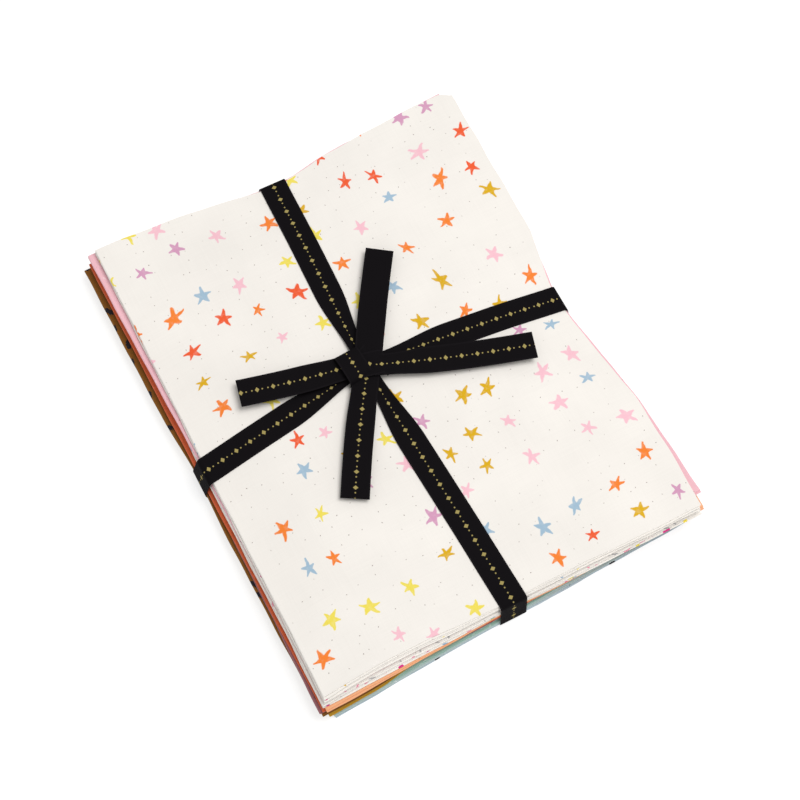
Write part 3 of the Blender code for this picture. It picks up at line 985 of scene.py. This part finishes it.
LEMON = dye(244, 222, 84)
SKY = dye(150, 182, 208)
ROSE = dye(240, 160, 180)
PALE_ROSE = dye(250, 214, 220)
GREY = dye(178, 176, 176)
BRIGHT = (MAGENTA, LEMON, SKY, ROSE)
PRINTS = {
    "quarter_01_cream_stars": (CREAM, star_print),
    "quarter_02_cream_dots": (CREAM, scattered(11.0, 2.0, 1.6, 0.8, BRIGHT, 0.41)),
    # The pale pink's dye is its own colour made a little darker: that darkening is painted shade, for the
    # stack's shaded left side
    "quarter_03_pale_pink": (dye(243, 192, 201), scattered(9.0, 2.2, 0.9, 0.4, (PALE_ROSE,), 0.2)),
    "quarter_04_cream_flecks": (CREAM, scattered(11.0, 4.2, 1.2, 0.7, (GREY, ROSE, GREY), 0.63)),
    "quarter_05_cream_petals": (CREAM, scattered(10.0, 4.6, 2.6, 0.75, BRIGHT, 0.87)),
    "quarter_06_peach": (dye(246, 180, 134), scattered(12.0, 5.0, 1.4, 0.5, (dye(250, 196, 156),), 0.51)),
    "quarter_07_coral": (dye(218, 104, 64), scattered(12.0, 4.0, 1.6, 0.3, (dye(232, 120, 84),), 0.17)),
    "quarter_08_mauve": (dye(164, 112, 118), scattered(9.0, 2.6, 1.2, 0.4, (dye(128, 78, 88),), 0.71)),
    # The mustard's dye is painted shade: it is set darker and browner than the ochre below it, for the shade
    # on the stack's left side, where this piece shows
    "quarter_09_mustard": (dye(138, 92, 34), scattered(11.0, 6.4, 3.2, 0.6, (INK,), 0.29, flecks=False)),
    "quarter_10_ochre": (dye(190, 146, 38), scattered(13.0, 4.0, 2.2, 0.35, (INK,), 0.93, flecks=False)),
    "quarter_11_teal": (dye(162, 198, 184), scattered(9.0, 2.4, 1.4, 0.5, (dye(188, 212, 202),), 0.37)),
    "quarter_12_sky": (dye(192, 210, 208), scattered(9.0, 3.4, 1.2, 0.3, (dye(226, 232, 232),), 0.57)),
    "quarter_13_grey_blue": (dye(190, 204, 212), scattered(12.0, 9.0, 3.2, 0.8, (INK,), 0.77, flecks=False)),
}

# The ribbon: its ribs, its motif of diamonds with a dot to each side, its bound edges, and how far
# the back's flat measure is moved, so that it shows no motif
RIB_PITCH = 0.55
MOTIF_PITCH = 9.0
DIAMOND_HALF = 1.5
DIAMOND_SQUASH = 1.2
DOT_RADIUS = 0.42
DOT_PLACE = 2.9
GOLD_SOFTNESS = 0.2
BINDING = 0.9
BINDING_SOFTNESS = 0.3
BACK_SHIFT = 100.0
RIBBON_RELIEF = 0.04 * MM
BLACK = linear(15, 13, 15)
RIB_BLACK = linear(25, 22, 25)
BINDING_BLACK = linear(29, 26, 29)
GOLD = linear(176, 160, 98)


def ribbon_material():
    """Black woven ribbon with fine ribs, bound edges and a pale gold line of diamonds and dots."""
    nodes = Nodes("ribbon_black")
    place = split(nodes, nodes.add("ShaderNodeUVMap", uv_map="flat"))
    along = nodes.times(place[0], 1 / MM)
    measured = nodes.times(place[1], 1 / MM)
    back = nodes.math("GREATER_THAN", measured, BACK_SHIFT / 2)
    across = nodes.minus(measured, nodes.times(back, BACK_SHIFT))
    face = nodes.minus(1.0, back)
    centred = nodes.minus(nodes.math("FLOORED_MODULO", along, MOTIF_PITCH), MOTIF_PITCH / 2)
    off_centre = nodes.math("ABSOLUTE", centred)
    height = nodes.math("ABSOLUTE", across)
    squashed = nodes.times_plus(off_centre, DIAMOND_SQUASH, height)
    diamond = nodes.minus(DIAMOND_HALF, squashed)
    to_dot = nodes.minus(off_centre, DOT_PLACE)
    squares = nodes.times_plus(to_dot, to_dot, nodes.times(height, height))
    dot = nodes.minus(DOT_RADIUS, nodes.math("SQRT", squares))
    motif = soft_mask(nodes, nodes.math("MAXIMUM", diamond, dot), GOLD_SOFTNESS)
    gold = nodes.times(motif, face)
    rib = nodes.math("SINE", nodes.times(along, 2 * math.pi / RIB_PITCH))
    binding = soft_mask(nodes, nodes.minus(height, RIBBON_WIDTH / 2 - BINDING), BINDING_SOFTNESS)
    black = nodes.mix(nodes.times_plus(rib, 0.25, 0.25), BLACK, RIB_BLACK)
    black = nodes.mix(nodes.times(binding, 0.35), black, BINDING_BLACK)
    colour = nodes.mix(nodes.times(gold, 0.85), black, GOLD)
    relief = nodes.math("ADD", nodes.times(rib, 0.5), nodes.times(gold, 1.2))
    relief = nodes.math("ADD", binding, relief)
    bump = nodes.add("ShaderNodeBump", {"Strength": 0.4, "Distance": RIBBON_RELIEF, "Height": relief})
    nodes.finish({"Base Color": colour, "Normal": bump, "Roughness": 0.72, "Specular IOR Level": 0.03})
    return nodes.material


def build_cloths():
    for index, quarter in reversed(list(enumerate(QUARTERS))):
        base, prints = PRINTS[quarter.name]
        spacing = TOP_SPACING if index == 0 else SPACING
        mesh = folded_cloth(quarter, index, spacing)
        piece = link(quarter.name + "_cloth", mesh, cotton(quarter.name, base, prints))
        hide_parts(quarter.name)


def build_bands(material):
    for band in BANDS:
        path = band_path(band)
        side = np.zeros(3)
        side[1 - band.axis] = 1.0
        width = neck(path)
        edges_up = NECK_CUP if band.face_up else -NECK_CUP
        cup = edges_up * (RIBBON_WIDTH - width)
        mesh, length = strip_mesh(band.name, path, side, width, cup, band.face_up)
        piece = link(band.name + "_woven", mesh, material)
        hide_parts(band.name)


def build_tails(material):
    for tail in TAILS:
        path, way = tail_path(tail)
        side = np.array((way[1], -way[0], 0.0))
        reach = np.hypot(path[:, 0] - tail.start_x, path[:, 1] - tail.start_y)
        opened = smooth_step(reach, *TAIL_NECK)
        width = mix(tail.neck, RIBBON_WIDTH, opened)
        cup = mix(ROOT_CUP, END_CUP * tail.curl, opened)
        mesh, length = strip_mesh(tail.name, path, side, width, cup, tail.face_up)
        piece = link(tail.name + "_woven", mesh, material)
        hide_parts(tail.name)


def blunted(wave, power):
    """The wave with its sign kept and its peaks made flatter."""
    return np.sign(wave) * np.abs(wave) ** power


def wrap_path(wrap):
    """A hoop of ribbon over the knot: half an oval, with its ends tucked in below."""
    heading = math.radians(wrap.heading)
    way = np.array((math.cos(heading), math.sin(heading)))
    angle = np.linspace(*np.radians(WRAP_ENDS), WRAP_STATIONS)
    run = blunted(np.cos(angle), WRAP_SIDES) * wrap.reach
    plan = np.array((wrap.x, wrap.y)) + way * run[:, None]
    height = mix(wrap.low, wrap.high, blunted(np.sin(angle), WRAP_CROWN))
    return np.column_stack((plan, height)), np.array((-way[1], way[0], 0.0))


def build_knot(material):
    pieces = []
    for wrap in WRAPS:
        path, side = wrap_path(wrap)
        mesh, length = strip_mesh("knot", path, side, wrap.width, 0.0)
        pieces.append(link("knot_woven", mesh, material))
    with bpy.context.temp_override(active_object=pieces[0], selected_editable_objects=pieces):
        bpy.ops.object.join()
    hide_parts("knot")


def set_camera():
    azimuth, elevation, roll = np.radians((CAMERA_AZIMUTH, CAMERA_ELEVATION, CAMERA_ROLL))
    back = np.array((
        math.sin(azimuth) * math.cos(elevation),
        -math.cos(azimuth) * math.cos(elevation),
        math.sin(elevation),
    ))
    level = np.array((math.cos(azimuth), math.sin(azimuth), 0.0))
    upright = np.cross(back, level)
    right = math.cos(roll) * level - math.sin(roll) * upright
    up = math.sin(roll) * level + math.cos(roll) * upright
    place = (CAMERA_AIM - ORIGIN + back * CAMERA_DISTANCE) * MM
    data = bpy.data.cameras.new("camera")
    data.lens = CAMERA_LENS
    data.sensor_width = CAMERA_SENSOR
    camera = bpy.data.objects.new("camera", data)
    bpy.context.scene.collection.objects.link(camera)
    turn = Matrix((right, up, back)).transposed()
    camera.matrix_world = Matrix.Translation(place) @ turn.to_4x4()
    bpy.context.scene.camera = camera


def add_key_light():
    """One soft round light that looks at the bundle."""
    data = bpy.data.lights.new("key", "AREA")
    data.shape = "DISK"
    data.size = KEY_SIZE
    data.energy = KEY_POWER
    light = bpy.data.objects.new("key", data)
    bpy.context.scene.collection.objects.link(light)
    light.location = KEY_PLACE
    light.rotation_euler = (-Vector(KEY_PLACE)).to_track_quat("-Z", "Y").to_euler()


def set_stage():
    """White floor and soft studio light."""
    world = bpy.data.worlds.new("studio")
    world.use_nodes = True
    background = world.node_tree.nodes["Background"]
    background.inputs["Color"].default_value = WHITE
    background.inputs["Strength"].default_value = WORLD_STRENGTH
    bpy.context.scene.world = world
    add_key_light()
    nodes = Nodes("floor")
    grain = nodes.noise(nodes.add("ShaderNodeTexCoord", output=OBJECT_COORDINATES), 3.0)
    nodes.finish({
        "Base Color": nodes.mix(grain, *FLOOR_GREYS),
        "Roughness": 0.95,
        "Specular IOR Level": 0.1,
        "Emission Color": WHITE,
        "Emission Strength": FLOOR_GLOW,
    })
    bpy.ops.mesh.primitive_plane_add(size=FLOOR_SIZE, location=(0.0, 0.0, -FLOOR_DROP))
    floor = bpy.context.object
    floor.name = "floor"
    floor.data.materials.append(nodes.material)
    view = bpy.context.scene.view_settings
    view.view_transform = "Standard"
    view.look = "None"


set_camera()
set_stage()
build_cloths()
RIBBON = ribbon_material()
build_bands(RIBBON)
build_tails(RIBBON)
build_knot(RIBBON)
